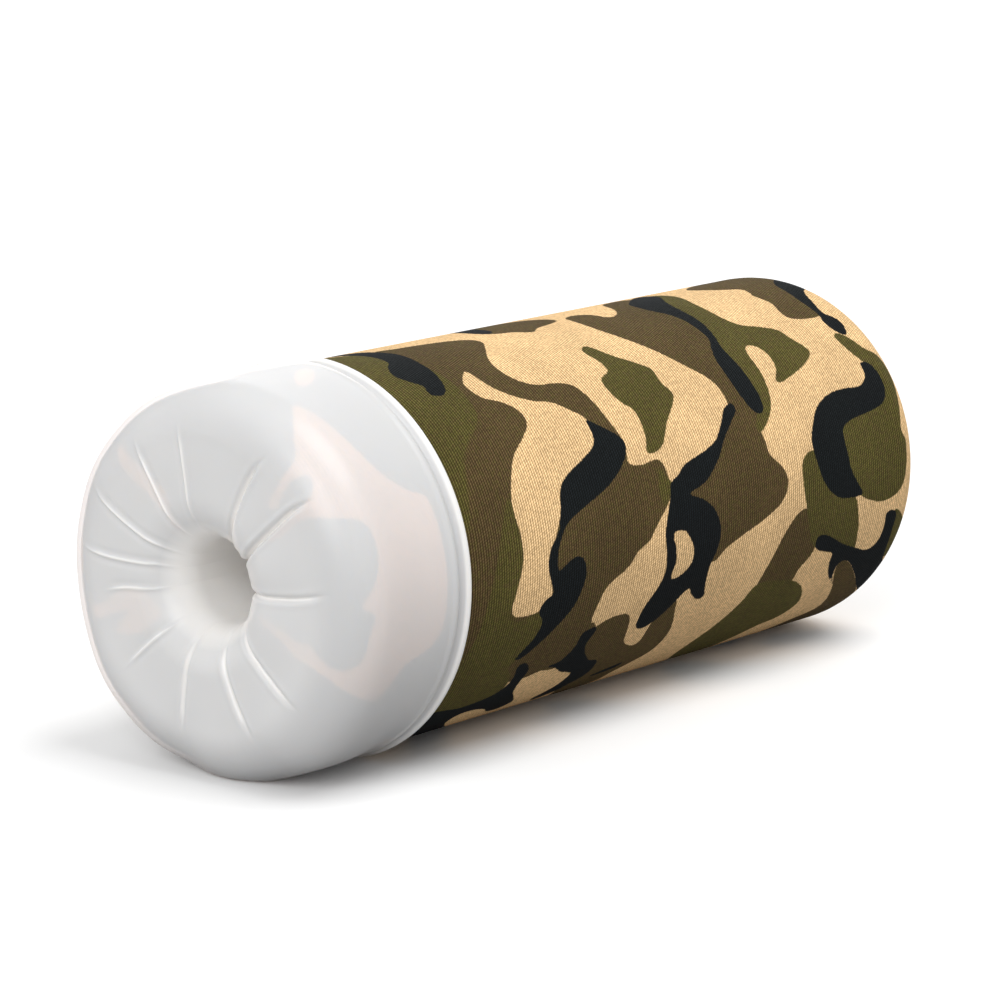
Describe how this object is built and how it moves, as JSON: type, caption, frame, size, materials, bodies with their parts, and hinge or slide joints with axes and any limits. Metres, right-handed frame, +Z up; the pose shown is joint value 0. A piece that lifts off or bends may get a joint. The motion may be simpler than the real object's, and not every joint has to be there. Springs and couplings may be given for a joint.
{
  "type": "sleeved soft tube",
  "caption": "Hand-held soft tube: camouflage fabric cover over foam, closed at one end, with a removable translucent sleeve turned out over its gathered mouth.",
  "frame": {"origin": "on the floor under the middle of the tube, which lies on its side", "axes": "+Z up, Y along the tube with the open mouth at -Y and the closed end at +Y, X across"},
  "size_m": [0.0854, 0.202, 0.084],
  "materials": {
    "camo_cloth": "matt ribbed printed weave in tan, brown, olive and black",
    "sleeve_elastomer": "milky translucent, satin",
    "lining_cloth": "smooth matt knit",
    "firm_foam": "closed-cell foam, matt",
    "soft_foam": "open-cell foam, matt",
    "elastic": "covered elastic, matt",
    "thread": "spun thread, satin"
  },
  "bodies": {
    "root": {"cover_wall": "camo_cloth", "cover_base": "camo_cloth", "bore_lining": "lining_cloth", "mouth_elastic": "elastic", "foam_wall": "firm_foam", "foam_core": "soft_foam", "foam_base": "soft_foam", "base_seam_thread": "thread", "mouth_seam_thread": "thread", "wall_seam_thread": "thread"},
    "liner": {"liner_sleeve": "sleeve_elastomer"}
  },
  "joints": [
    {"name": "liner_pull", "type": "slide", "parent": "root", "child": "liner", "axis": [0, -1, 0], "range_m": [0, 0.18]}
  ]
}
